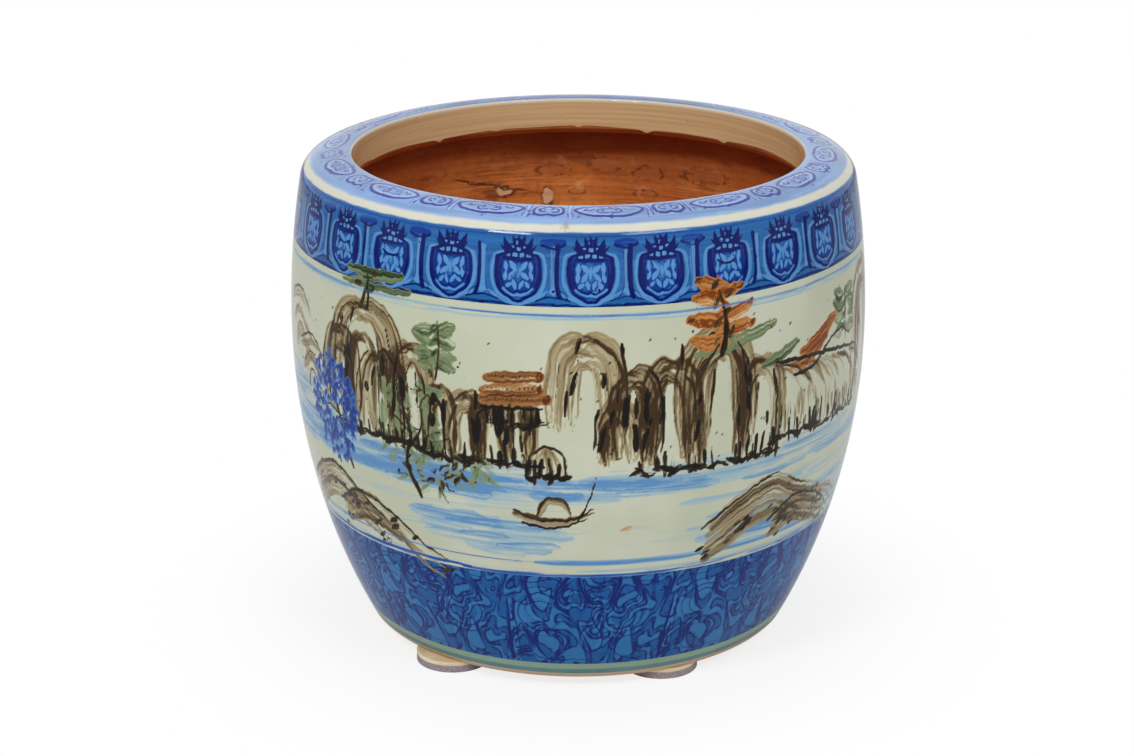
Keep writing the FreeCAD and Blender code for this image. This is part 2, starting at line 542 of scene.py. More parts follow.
def waterline(start, end, z, every=4.2):
    """A ragged black foot where rocks meet the water."""
    x = start
    while x < end:
        dab(x, near(z, 1.6), brush.uniform(5, 11), brush.uniform(2.2, 4.4), brush.uniform(50, 125),
            0.85, 0.3)
        if brush.random() < 0.8:
            dab(x + near(0, 2), z + brush.uniform(2, 7), brush.uniform(6, 18), brush.uniform(1.6, 3.6),
                0, 0.85, 0.4)
        x += every * brush.uniform(0.5, 1.5)


def boulder(x, z, wide, tall):
    """A round rock: a black outline with pale strokes that fan out from its top."""
    for i in range(7):
        fan = math.sin(math.radians(-62 + 124 * i / 6))
        lay("olive", around(x, z, (2 * fan, tall * 0.42), (wide * 0.27 * fan, tall * 0.1),
                            (wide * 0.46 * fan, -tall * 0.36)), 2.6, 0.5, 0.45)
    outline(around(x, z, (-wide * 0.45, -tall * 0.3), (-wide * 0.4, tall * 0.2), (0, tall * 0.5),
                   (wide * 0.4, tall * 0.22), (wide * 0.48, -tall * 0.28)), 2.2, 0.9, 0.3)
    waterline(x - wide * 0.45, x + wide * 0.45, z - tall * 0.4, 3.6)


def cliff(start, end, top, foot, arches, rings=2, width=8.0):
    """A row of arches whose tops rise and fall below the given height."""
    across = (end - start) / arches
    for i in range(arches):
        tall = top - brush.uniform(0, 0.16) * (top - foot)
        arch(start + across * (i + 0.5), tall, across * near(0.6, 0.1), across * near(0.6, 0.1),
             near(foot, 3), rings, width)
    waterline(start - 4, end + 4, foot)


def terrace(start, end, top, foot):
    """A long level edge with curved strokes sloping off it, then fine upright streaks to the water."""
    fall = 0.12
    outline([(start, top), ((start + end) / 2, top - fall * (end - start) / 2 + 2),
             (end, top - fall * (end - start))], 2.6, 0.95, 0.3)
    x = start
    while x < end:
        z = top - fall * (x - start)
        run = brush.uniform(20, 34)
        if brush.random() < 0.75:
            lay("olive", around(x, z, (0, -2), (run * 0.55, -9), (run, -24)), near(5, 1.5), 0.42, 0.5, 0.05)
            outline(around(x, z, (0, -2), (run * 0.5, -9), (run * 0.9, -21)), 1.2, 0.6, 0.55)
        x += brush.uniform(4.5, 9)
    x = start
    while x < end + 8:
        z = top - fall * (x - start) - brush.uniform(16, 30)
        low = near(foot, 2) + brush.uniform(0, 4)
        if z > low + 8:
            streak = [(x, z), (x + near(1, 1.5), (z + low) / 2), (x + near(1, 2), low)]
            lay("olive", streak, near(3.2, 1.2), 0.4, 0.55, 0.05)
            if brush.random() < 0.5:
                outline([(x + 1, (z + low) / 2 + 6), (x + 2, low)], 1.1, 0.65, 0.5)
        x += brush.uniform(2.5, 5)
    waterline(start, end, foot + 1, 5.5)


def hills(x, z, wide):
    """Far hills, as a few pale strokes with short black dashes over them."""
    for i in range(3):
        ridge = [(x - wide / 2 + 8 * i, z - 14 * i), (x + near(0, 4), z + 7 - 12 * i),
                 (x + wide / 2 + 4 * i, z - 6 - 16 * i)]
        lay("olive", ridge, near(9, 2), 0.42, 0.5, 0.15)
        outline([(x - wide / 2 + 8 * i, z + 3 - 14 * i), (x, z + 11 - 12 * i),
                 (x + wide / 2, z - 3 - 15 * i)], 1.5, 0.8, 0.6)


def bank(points, depth):
    """A low shore: a black top edge over long olive strokes that slope down with it."""
    top = smooth_path(points, 6)
    for layer in range(max(2, int(depth / 6))):
        drop = 4 + layer * 6.0
        path = [(px + near(0, 2), pz - drop - near(0, 1)) for px, pz in top[1:-1:2]]
        if len(path) > 2:
            lay("olive", path, 9.0 * near(1, 0.15), 0.55, 0.5, 0.12)
    outline(points, 2.6, 1.0, 0.35)
    for _ in range(int(len(top) * 0.8)):
        px, pz = top[brush.randrange(len(top))]
        dab(px, pz - brush.uniform(3, depth), near(5, 2), near(3, 1), 60, 0.75, 0.2)


print("rocks are built from olive washes and black lines")


# %% Trees
def twig(x, z, long, high, load):
    """A short hooked scribble inside a crown."""
    outline([(x, z), (x + near(0, 5), z + near(0, 5)), (x + near(0, long), z + near(0, high))],
            0.9, load, 0.3)


def long_leaf(x0, z0, x1, z1, width=7.0, load=0.62):
    middle = (x0 + x1) / 2, (z0 + z1) / 2 + near(0, 1.5)
    lay("green", [(x0, z0), middle, (x1, z1)], width, load, 0.18, 0.14, shape=LEAF)


def pine(x, z, tall, tiers=3, reach=24.0):
    """A trunk under wide flat tiers of green, each one long stroke with a dark knot."""
    outline(around(x, z, (-4, 0), (-1, tall * 0.4), (2, tall * 0.75), (0, tall)), 3.2, 1.0, 0.25)
    outline(around(x, z, (2, 0), (3, tall * 0.35), (1, tall * 0.7)), 2.2, 0.9, 0.3)
    for tier in range(tiers):
        pz = z + tall * (0.62 + 0.36 * tier / max(1, tiers - 1))
        wide = reach * (1 - 0.3 * tier / tiers) * near(1, 0.12)
        side = brush.choice((-0.25, 0.25)) * wide
        long_leaf(x - wide + side, pz, x + wide + side, pz + near(1, 2), 7.5, 0.66)
        dab(x + near(0, 4), pz - 2, 7, 6, 70, 0.8, pigment="green")
        dab(x + near(0, wide * 0.5), pz, 5, 4, 90, 0.55)


def broadleaf(x, z, tall):
    """A slim stem with pairs of round dabs up both its sides."""
    outline([(x + near(0, 2), z), (x + near(0, 2), z + tall * 0.5), (x, z + tall)], 1.6, 0.8, 0.3)
    pairs = max(3, int(tall / 8.5))
    for i in range(pairs):
        pz = z + tall * (0.25 + 0.8 * i / pairs)
        for side in (-1, 1):
            dab(x + side * near(8, 3.5), pz + near(0, 2), near(11, 2.5), near(9, 1.5), near(90, 20),
                0.5 * near(1, 0.3), 0.1, "green", 0.14)
        dab(x + near(0, 2), pz, 6, 5, 45, 0.65, pigment="green")


def maple(x, z, tall, reach=20.0):
    """A dark stem under lobed red-brown dabs, each stippled and ended by a dark knob."""
    outline(around(x, z, (0, 0), (3, tall * 0.4), (-1, tall * 0.9)), 3.4, 0.9, 0.3)
    for i in range(7):
        pz = z + tall * (0.22 + 0.13 * i)
        side = (-1, 1)[i % 2]
        out = reach * (1 - 0.07 * i) * near(1, 0.2)
        end = (x + side * out, pz + near(3, 3))
        lobe = [(x - side * 3, pz - 2), (x + side * out * 0.5, pz + near(1, 2)), end]
        lay("rust", lobe, near(9.0, 1.5), 0.8, 0.2, 0.06, shape=LEAF)
        for _ in range(9):
            dab(x + side * out * brush.random(), pz + near(1, 3.2), 1.2, 0.9, 0, 0.7, pigment="roof")
        dab(end[0], end[1], 4.5, 4.2, 60, 0.8, pigment="roof")
        dab(x + side * near(4, 3), pz - 1, 6.5, 4, 40, 0.42)


def willow(x, z, tall, reach=26.0):
    """A leaning trunk under a cloud of small blue leaf marks over a pale blue wash."""
    outline(around(x, z, (16, -tall * 0.55), (7, -5), (0, tall * 0.2)), 2.4, 0.85, 0.25)
    outline(around(x, z, (7, -5), (-6, -2), (-13, -12)), 1.6, 0.85, 0.3)
    for _ in range(15):
        a = brush.uniform(0, math.tau)
        d = math.sqrt(brush.random())
        dab(x + reach * 0.85 * d * math.cos(a), z + tall * 0.42 * d * math.sin(a), near(14, 3), near(9, 2),
            near(20, 30), 0.42, pigment="water")
    for _ in range(150):
        a = brush.uniform(0, math.tau)
        d = math.sqrt(brush.random())
        px, pz = x + reach * d * math.cos(a), z + tall * 0.5 * d * math.sin(a)
        for tilt in (-38, -8, 24):
            t = math.radians(near(tilt, 10))
            long = near(6.0, 1.5)
            lay("cobalt", [(px, pz), (px + long * math.sin(t), pz - long * math.cos(t))], 1.9)


def shrub(x, z, reach):
    """A grey-green scribble of small strokes with black knots, low over the water."""
    for _ in range(int(reach * 1.3)):
        dab(x + near(0, reach), z + near(0, reach * 0.8), near(9, 3), near(5, 2), near(0, 70),
            0.3, 0.2, "green")
    for _ in range(int(reach)):
        twig(x + near(0, reach), z + near(0, reach * 0.9), 8, 6, 0.7)
    for _ in range(int(reach / 5)):
        dab(x + near(0, reach), z + near(0, reach * 0.7), 5, 4, near(0, 60), 0.7)


def slim_tree(x, z, tall, reach):
    """A thin forked trunk in front of the rocks, under a loose grey-green crown."""
    outline(around(x, z, (6, 0), (-2, tall * 0.35), (2, tall * 0.65), (-5, tall)), 2.6, 0.95, 0.2)
    outline(around(x, z, (0, tall * 0.5), (9, tall * 0.7), (12, tall * 0.95)), 1.6, 0.85, 0.25)
    outline(around(x, z, (2, tall * 0.66), (-9, tall * 0.8), (-15, tall * 0.84)), 1.4, 0.85, 0.25)
    for _ in range(int(reach * 1.8)):
        dab(x + near(0, reach), z + tall * near(0.82, 0.34), near(12, 4), near(7, 2), near(0, 80),
            0.34, 0.15, "green")
    for _ in range(int(reach * 0.8)):
        twig(x + near(0, reach), z + tall * near(0.82, 0.36), 9, 7, 0.75)


print("trees are stacks of dabs on black stems")


# %% Hut, boat and water
def hut(x, z, wide=32.0):
    """Low roofs of broad brown strokes, each with a dotted ridge, over short black posts."""
    lean = 0.06
    for dz, k in ((0, 1.0), (6.5, 0.9), (14.5, 0.82)):
        shift = near(0, 2)
        left, right = x - wide * k / 2 + shift, x + wide * k / 2 + shift
        lay("roof", [(left, z + dz), (x + shift, z + dz + 1.2), (right, z + dz + wide * lean)],
            7.6, 0.62, 0.2, 0.22, shape=ROOFING)
        for j in range(int(wide * k / 2.6)):
            dab(left + 2.6 * j, z + dz + 1.3 + lean * 1.3 * j, 1.0, 0.9, 0, 0.75)
        dab(right, z + dz + wide * lean, 4.5, 4.5, 20, 0.9, pigment="roof")
    for i in range(5):
        dab(x - wide * 0.4 + wide * 0.2 * i, z - 9, near(10, 2), 2.4, 0, 0.95)
    outline(around(x, z, (-wide / 2, -5), (0, -4.5), (wide / 2, -4)), 2.4, 0.9, 0.3)
    waterline(x - wide / 2, x + wide / 2, z - 15, 5)


def boat(x, z, long=46.0, side=1):
    """A flat boat with a hooped mat cover, no bigger than a few strokes."""
    reach = side * long
    lay("olive", around(x, z, (-reach / 2, 2), (0, -3), (reach / 2, 4)), 6.5, 0.55, 0.35, 0.15)
    outline(around(x, z, (-reach / 2, 5), (-reach * 0.2, -1), (reach * 0.25, 0), (reach / 2, 8)),
            2.0, 1.0, 0.2)
    outline(around(x, z, (-reach * 0.4, -4), (0, -7), (reach * 0.42, 0)), 1.6, 0.9, 0.35)
    lay("olive", around(x, z, (-10, 2), (-5, 11), (5, 11), (10, 2)), 5.0, 0.7, 0.2, 0.15)
    outline(around(x, z, (-11, 2), (-5.5, 13.5), (5.5, 13.5), (11, 2)), 1.3, 0.8, 0.3)
    outline(around(x, z, (reach * 0.3, -2), (reach * 0.45, 16), (reach * 0.52, 30)), 1.2, 0.85, 0.2)


def streaks(start, end, low, high, count, load=0.3, wide=(2.0, 7.0), long=(40, 120)):
    """Level strokes of water, most of them dry at the end."""
    for _ in range(count):
        x, z = brush.uniform(start, end), brush.uniform(low, high)
        run = brush.uniform(*long) * brush.choice((-1, 1))
        path = [(x - run / 2, z), (x, z + near(0, 1.2)), (x + run / 2, z + near(0, 1.5))]
        lay("water", path, brush.uniform(*wide), load * near(1, 0.45), brush.uniform(0.3, 0.7),
            shape=WATERY, streak=0.6)


def round_line(z, pigment, width, load):
    """A line drawn on the turning wheel, in a few long laps of a small brush."""
    x = -picture.half
    while x < picture.half:
        run = brush.uniform(70, 160)
        path = [(x - 6, z + near(0, 0.3)), (x + run / 2, z + near(0, 0.4)), (x + run, z + near(0, 0.3))]
        lay(pigment, path, width * near(1, 0.15), load * near(1, 0.3), 0.35, shape=LAPPING)
        x += run


def specks(start, end, low, high, count):
    """Fine spatter from a flicked brush."""
    for _ in range(count):
        dab(brush.uniform(start, end), brush.uniform(low, high), brush.uniform(0.5, 1.8),
            brush.uniform(0.5, 1.2), 45, 0.8)


print("the water is laid in level streaks")

# %% [markdown]
# ## The scene round the pot
#
# The front is composed from a given list of motifs and the rest of the circle goes on in the same way,
# because a real pot is painted all round. Farther things come first and nearer ones are laid over them.
# Some leaves run over the blue band above, as they do when the painter doesn't stop at the line.

# %% Front
for line in ((269.2, "water", 3.4, 0.6), (269.6, "cobalt", 1.3, 0.36), (266.6, "water", 1.4, 0.4),
             (103.6, "water", 4.2, 0.6), (103.0, "cobalt", 2.0, 0.4), (94.4, "cobalt", 3.0, 0.5),
             (97.2, "water", 2.4, 0.35)):
    round_line(*line)
streaks(-300, 300, 112, 172, 40, 0.24, (4, 10))
streaks(-260, -30, 152, 174, 44, 0.4, (4, 10), (40, 100))
streaks(-110, 30, 148, 164, 30, 0.42, (4, 9), (30, 70))
streaks(20, 290, 152, 168, 30, 0.38, (4, 9), (30, 90))
streaks(-290, -180, 150, 200, 34, 0.42, (4, 9), (30, 70))
streaks(-110, -30, 110, 134, 26, 0.42, (4, 10), (30, 70))
streaks(110, 260, 108, 130, 26, 0.42, (4, 10), (30, 80))
hills(-236, 240, 50)
hills(-214, 214, 46)
arch(4, 257, 21, 23, 196, 3, 8.5, load=0.5)
arch(33, 234, 13, 14, 176, 2, 8.0)
arch(24, 214, 12, 13, 174, 2, 7.0)
arch(-152, 262, 30, 31, 178, 3, 10.0)
arch(-176, 240, 15, 18, 182, 2, 8.5)
arch(-134, 232, 18, 18, 176, 2, 8.5)
arch(-112, 242, 15, 17, 175, 2, 8.0)
cliff(-98, -30, 222, 172, 4, 2, 7.5)
waterline(-180, -100, 176)
arch(58, 238, 20, 19, 168, 2, 9.0)
arch(90, 254, 27, 26, 168, 3, 10.0)
arch(122, 232, 15, 16, 170, 2, 8.0)
waterline(36, 138, 167)
terrace(134, 236, 226, 173)
arch(252, 264, 22, 26, 178, 3, 9.0)
cliff(272, 330, 240, 176, 2)
pine(-150, 258, 24, 2, 30)
broadleaf(-92, 222, 38)
hut(-42, 214, 40)
boulder(-20, 174, 26, 24)
maple(92, 238, 46, 24)
long_leaf(74, 240, 132, 252, 8.5)
long_leaf(122, 226, 152, 236, 7.5)
lay("rust", [(158, 228), (176, 233), (196, 243)], 9.5, load=0.75, dry=0.2, shape=LEAF, pool=0.08)
lay("rust", [(148, 220), (166, 223), (184, 232)], 9.5, load=0.75, dry=0.2, shape=LEAF, pool=0.08)
outline([(150, 214), (170, 216), (186, 226), (204, 232), (222, 224)], 2.4, 0.9, 0.3)
broadleaf(212, 222, 38)
willow(-186, 186, 74, 27)
shrub(-108, 164, 22)
slim_tree(-114, 140, 66, 22)
shrub(-70, 164, 15)
bank([(-246, 118), (-220, 134), (-194, 142), (-168, 130), (-140, 112)], 24)
bank([(-196, 116), (-168, 130), (-136, 122), (-110, 104), (-92, 96)], 20)
bank([(84, 122), (112, 140), (140, 149), (170, 136), (212, 124), (244, 108)], 30)
bank([(140, 116), (166, 128), (200, 118), (226, 100)], 22)
dab(118, 118, 14, 6, 60, load=0.8, dry=0.3)
boat(-16, 136, 52)
dab(31, 128, 7, 4, 70, pigment="rust", load=0.3)
specks(-300, 300, 170, 262, 150)
print("front painted")

# %% Sides and back
for x in range(340, 900, 140):
    kind = brush.randrange(3)
    streaks(x - 80, x + 80, 108, 172, 34, 0.3)
    streaks(x - 80, x + 80, 148, 170, 22, 0.45, (2.5, 7.0), (30, 90))
    cliff(x - 62, x - 4, near(238, 16), 172, 3, 2, 9.0)
    arch(x - 34, near(254, 8), 26, 26, 174, 3, 9.5)
    if kind == 0:
        pine(x - 34, 252, 26, 2, 26)
        terrace(x, x + 72, near(222, 5), 174)
        broadleaf(x + 40, 216, 36)
    elif kind == 1:
        maple(x - 30, 238, 44, 22)
        cliff(x, x + 60, 222, 172, 3, 2, 7.5)
        hut(x + 30, 218, 36)
    else:
        hills(x + 30, 236, 54)
        cliff(x + 4, x + 66, 212, 172, 4, 2, 7.0)
        broadleaf(x - 2, 214, 36)
        willow(x + 44, 180, 58, 22)
    left, depth = x + near(-52, 20), near(22, 6)
    bank([(left, 112), (left + 28, near(134, 10)), (left + 62, near(124, 6)), (left + 98, near(104, 5))],
         depth)
    shrub(x + near(16, 34), near(161, 5), near(18, 6))
    if kind == 0:
        boat(x + near(50, 12), near(138, 8), 44, brush.choice((-1, 1)))
specks(300, 920, 170, 262, 150)
print("strokes laid all round")

# %% [markdown]
# ## Blue bands
#
# The bands above and below the scene are stamped ornament washed with cobalt. The wash runs thin over
# raised lines and gathers beside them, so each band has three layers: a light one for what is raised,
# a shade for the hollows and a dark line where the wash gathers. A motif is drawn once per repeat, with
# small changes, because no two of the real ones are alike.

# %% Motifs of the upper band
BAND = ("light", "shade", "line")
BAND_PIXEL = 0.3
TAPERED = ((0, 0.5), (0.5, 1), (1, 0.5))
high_band = Sheet(high_band_z - 1, band_top_z + 3, BAND_PIXEL, BAND)
band_middle = (high_band_z + band_top_z) / 2

# Half of the shield's outline from its top, a brick, and the petals: place, length, width and tilt
SHIELD = [(3, 12), (7.5, 9.5), (12.4, 8.2), (14.1, 2), (13.8, -7), (10.8, -13.6), (6, -16.4), (2.8, -18.8),
          (0, -19.2)]
BRICK = ((-2.1, -1.7), (-2.1, 1.7), (2.1, 1.8), (2.1, -1.7), (-2.1, -1.7))
PETALS = ((3.4, 1.6, 5.4, 3.8, 42), (7.9, 1.6, 5.0, 3.4, 8), (4.0, -3.8, 5.2, 3.6, -42),
          (8.2, -4.2, 4.4, 3.0, -12), (2.2, -9.0, 4.6, 3.0, 24), (6.2, -9.2, 4.2, 2.8, -48))


def draw(sheet, layer, path, width, centre=(0, 0), flip=1, load=0.9, spread=0.25, **options):
    """A stroke of a motif, placed by its centre and mirrored where flip is -1."""
    places = [(centre[0] + flip * x + near(0, spread), centre[1] + z + near(0, spread)) for x, z in path]
    sheet.stroke(layer, places, width, load, seed=brush.randrange(SEEDS),
                 **({"shape": ROUND, "pool": 0, "streak": 0.25} | options))


def high(layer, path, width, c, flip=1, load=0.9, **options):
    draw(high_band, layer, path, width, c, flip, load, **options)


def spot(sheet, layer, x, z, long, wide, tilt, centre=(0, 0), flip=1, load=1.0):
    a = math.radians(tilt)
    dx, dz = long / 2 * math.sin(a), long / 2 * math.cos(a)
    draw(sheet, layer, [(x - dx, z - dz), (x + dx, z + dz)], wide, centre, flip, load, shape=TAPERED)


def medallion(x, kind):
    """A shield with a spiky crown of bricks over leaves, and a scalloped foot."""
    c = (x, band_middle)
    for flip in (-1, 1):
        high("light", [(px * 1.19, pz * 1.07) for px, pz in SHIELD], 2.6, c, flip, 0.75)
        high("shade", [(2, 10), (7.5, 5), (8.5, -5), (4, -12)], 11.5, c, flip, 1.2)
        high("line", SHIELD, 1.9, c, flip, 0.95)
        high("line", [(13.0, 7), (13.4, -2), (11.2, -10)], near(2.6, 1.0), c, flip, 0.8)
        high("line", [(10.4, 5), (11.0, -3), (8, -11), (3, -14), (0, -13)], 1.1, c, flip)
        high("light", [(9.4, -11.4), (5.8, -14.2), (2.6, -15.6), (0, -15.0)], 1.7, c, flip, 0.8)
        for px, pz, long, wide, tilt in PETALS:
            spot(high_band, "light", px, pz + near(0, 0.4), long, wide, tilt + near(0, 12), c, flip)
        high("line", [(4.5, 10.5), (7.6, 13.4), (9.2 + near(0, 0.8), 19)], 4.2, c, flip, 1.1, shape=TAIL)
        high("line", [(6.5, 10), (9.5, 12), (12.2, 15)], 1.8, c, flip, 0.95, shape=TAIL)
        high("line", [(2.4, 14.5), (3.2, 17), (4.2, 20.4)], near(2.8, 0.5), c, flip, 1.05, shape=TAIL)
    if kind != 1:
        high("line", [(0, 14), (0.6, 17), (near(0, 1), 21)], 2.6, c, load=1.0, shape=TAIL)
    spot(high_band, "light", 0, -1.6, 6.4, 2.4, 0, c, load=0.9)
    high("line", [(-10, 6.6), (-3, 5.6), (3, 5.8), (10, 6.4)], 1.6, c, load=0.95)
    for pz, count in ((8.8, 4), (12.4, 3), (15.8, 1 + kind % 2)):
        for i in range(count):
            px = (i - (count - 1) / 2) * 4.4
            high("light", [(px - 0.6, pz), (px + 0.6, pz)], 3.0, c, spread=0.1, load=1.1)
            high("line", around(px, pz, *BRICK), 1.2, c)
    if kind == 2:
        high("line", [(-8, 1), (-2, -1.5), (5, 0)], 1.8, c, load=0.8)


def pillar(x, kind):
    """A stem with a mushroom cap and a flared foot, darkest down one side."""
    c = (x, band_middle)
    side = 1 if kind % 2 else -1
    high("light", [(0, 12), (0, 0), (0, -13)], 4.6, c, load=0.8)
    high("line", [(2.6, 14.5), (2.1, 4), (2.3, -10), (4.2, -16)], 3.2 if kind == 1 else 2.4, c, side, 1.05)
    high("line", [(-2.0, 12), (-1.7, 2), (-2.2, -11), (-5, -15.5)], 0.9, c, side, 0.7)
    if kind != 2:
        high("shade", [(-6, 16.2), (0, 16.8), (6, 16.4)], 4.4, c, load=1.2)
        high("line", [(-7.5, 15.2), (-3.5, 13.8), (0, 13.2), (3.5, 13.8), (7.5, 15.8)], 1.9, c, load=0.85)
        high("shade", [(-4.5, 12), (0, 11), (4.5, 12)], 2.2, c, load=0.5)
    high("light", [(-9, -16.4), (-4, -13.4), (0, -12.6), (4, -13.4), (9, -16.4)], 2.0, c, load=0.8)
    high("line", [(-10.5, -18.4), (-5, -16.6), (0, -16.0), (5, -16.6), (10.5, -18.2)], 1.2, c, load=0.85)
    high("line", [(9, -17.5), (8, -14.6), (4, -12)], 0.9, c, side, 0.7)


print("a shield has", len(PETALS), "petals on each side")


# %% Upper band
SWAG = ((-13.5, -16.5), (-9, -18.3), (-5, -20.3), (0, -20.9), (5, -20.3), (9, -18.3), (13.5, -16.5))
repeats = 27
pitch = 2 * high_band.half / repeats
for i in range(repeats):
    x = 6.6 + (i - repeats // 2) * pitch
    for _ in range(4):
        z, run = near(band_middle, 20), near(26, 12)
        high(brush.choice(("shade", "light")), [(x - run, z), (x, z + near(0, 0.5)), (x + run, z)],
             brush.uniform(1.0, 3.2), (0, 0), load=0.3, dry=0.35)
    medallion(x + near(0, 0.8), brush.choice((0, 0, 1, 2)))
    pillar(x + pitch / 2 + near(0, 1.0), brush.choice((0, 0, 1, 1, 2)))
    c = (x, band_middle)
    high("light", SWAG, 1.7, c, load=0.75)
    high("shade", [(-22.7, 20.6), (0, 20.2), (22.7, 20.6)], 1.6, c, load=0.55)
    high("line", [(-23.2, -20.6), (-12, -20.6), (0, -22.2), (12, -20.6), (23.2, -20.6)], 2.1, c, load=0.75)
for _ in range(26):
    z, x = near(band_middle, 15), near(0, high_band.half)
    spot(high_band, "line", x, z, 1.2, 1.1, 0)
for x, z in ((-16.5, 284), (9, 283), (12.5, 285)):
    spot(high_band, "light", x, z, 2.0, 4.4, 90)
    spot(high_band, "line", x, z, 0.6, 1.7, 90, load=2.0)
print("upper band", repeats, "repeats of", round(pitch, 1), "mm")

# %% Motifs of the lower band
low_band = Sheet(foot_line_z - 1, low_band_z + 2, BAND_PIXEL, BAND)
low_repeats = 10
low_pitch = 2 * low_band.half / low_repeats


def lower(layer, path, width, c, load, **options):
    shape = LINE if layer == "line" else ROUND
    draw(low_band, layer, path, width, c, 1, load, 0.5, **({"shape": shape} | options))


def resized(path, x, z, across, up):
    """A path drawn nearer to a point, or further from it."""
    return [(x + (px - x) * across, z + (pz - z) * up) for px, pz in path]


def scroll(x, z, radius, start, sweep, c, squash):
    """Three nested arcs that wind round a point, light between dark lines."""
    for ring in range(3):
        r = radius - ring * radius / 3.6
        wave = near(0, 0.12)
        turns = [math.radians(start + sweep * i / 7) for i in range(8)]
        path = [(x + r * (1 + wave * math.sin(3 * a)) * math.cos(a),
                 z + squash * r * (1 + wave * math.cos(2 * a)) * math.sin(a)) for a in turns]
        lower("light", path, radius / 4 * 0.75, c, 0.6)
        lower("line", resized(path, x, z, 1 + 1.6 / r, 1 + 1.6 / r), near(1.1, 0.25), c, near(0.85, 0.15))


def cloud(x, z, wide, tall, c):
    """A lobed outline with a hatch of short curved lines inside."""
    lobes = 6
    path = []
    for i in range(lobes * 3 + 1):
        a = math.tau * i / (lobes * 3) + 0.3
        bump = 1 + 0.16 * math.cos(lobes * a)
        path.append((x + wide / 2 * bump * math.cos(a), z + tall / 2 * bump * math.sin(a)))
    lower("light", resized(path, x, z, 0.84, 0.8), 2.0, c, 0.65)
    lower("line", path, 1.0, c, 0.8)
    lower("shade", [(x - wide * 0.2, z), (x + wide * 0.2, z)], tall * 0.5, c, 0.4)
    for i in range(6):
        px = x - wide * 0.3 + wide * 0.12 * i
        lower("line", [(px, z - tall * 0.22), (px + 1.2, z), (px + near(0, 2), z + tall * 0.24)],
              0.7, c, 0.7)


def gourd(x, z, c):
    """A pear-shaped flask, two rounds joined by a neck."""
    path = around(x, z, (0, 17), (-3, 13), (-3.4, 9), (-8, 3), (-9, -5), (-5, -11), (0, -12.5), (5, -11),
                  (9, -5), (8, 3), (3.4, 9), (3, 13), (0, 17))
    lower("light", resized(path, x, z, 0.78, 0.82), 2.2, c, 0.7)
    lower("line", path, 1.2, c, 0.9)
    lower("shade", around(x, z, (3, 2), (4, -7)), 5, c, 0.55)


def beaded_stem(x, c):
    """A pale upright stem with a row of dots, between a heavy line and a fine one."""
    lower("light", [(x, -33), (x, -5), (x + 0.5, 16)], 6.0, c, 0.85, shape=((0, 1), (1, 0.45)))
    lower("line", [(x - 5, -34), (x - 3.6, -8), (x - 2, 17)], 3.4, c, 0.95)
    lower("line", around(x, 0, (4, -34), (3.0, -8), (1.6, 18), (5, 26), (2, 33)), 1.3, c, 0.9)
    for k in range(8):
        spot(low_band, "line", x, -30 + 6 * k, 1.8, 1.6 - 0.1 * k, 0, c)


def contours(sheet, level, seed, load):
    """Nested winding outlines: level lines of a smooth wavy surface, light beside dark.

    Every wave fits a whole number of times round the pot, so the lines meet at the back."""
    where, x, z = sheet.patch(-sheet.half, sheet.half - sheet.pixel,
                              sheet.low, sheet.low + sheet.rows * sheet.pixel)
    rng = np.random.default_rng(seed)
    turn = 2 * sheet.half
    bend_x = 5 * np.sin(z / 7 + 2 * np.sin(x * math.tau * 3 * low_repeats / turn))
    bend_z = 4 * np.sin(x * math.tau * 4 * low_repeats / turn + 2 * np.sin(z / 9))
    surface = 0
    for _ in range(9):
        turns = low_repeats * int(rng.integers(1, 4))
        tall, phase = rng.uniform(-1, 1) * math.tau / 34, rng.uniform(0, math.tau)
        surface = surface + np.sin((x + bend_x) * math.tau * turns / turn + (z + bend_z) * tall + phase)
    surface = surface * level
    slope = np.hypot(*np.gradient(surface, sheet.pixel)) + 0.02
    gap = np.abs(surface - np.round(surface)) / slope
    ribbon = smooth_step(np.abs(surface % 2 - 0.5), 0.5, 0.4)
    fine = surface * 3
    fine_gap = np.abs(fine - np.round(fine)) / slope / 3
    patchy = 0.75 + 0.25 * unsteady(x, z, 2)
    hatch = (1 - ribbon) * smooth_step(unsteady(x, z * 1.3, 3), -0.25, 0.1)
    hand = np.clip(0.45 + 0.9 * unsteady(x, z * 0.8, 4), 0, 1)
    pool = (1 - ribbon) * smooth_step(unsteady(x, z * 0.7, 6), 0.3, 0.6)
    dark = (load * patchy * smooth_step(gap, 0.6 + 0.8 * hand, 0.2 + 0.6 * hand) + 0.5 * pool
            + 0.55 * hatch * smooth_step(fine_gap, 0.55, 0.2))
    sheet.layers["line"][where] += dark.astype(np.float32)
    sheet.layers["light"][where] += (0.62 * ribbon * smooth_step(gap, 0.6, 1.2)).astype(np.float32)
    sheet.layers["shade"][where] += (0.55 * (1 - ribbon)).astype(np.float32)


print("lower band", low_repeats, "repeats of", round(low_pitch, 1), "mm")


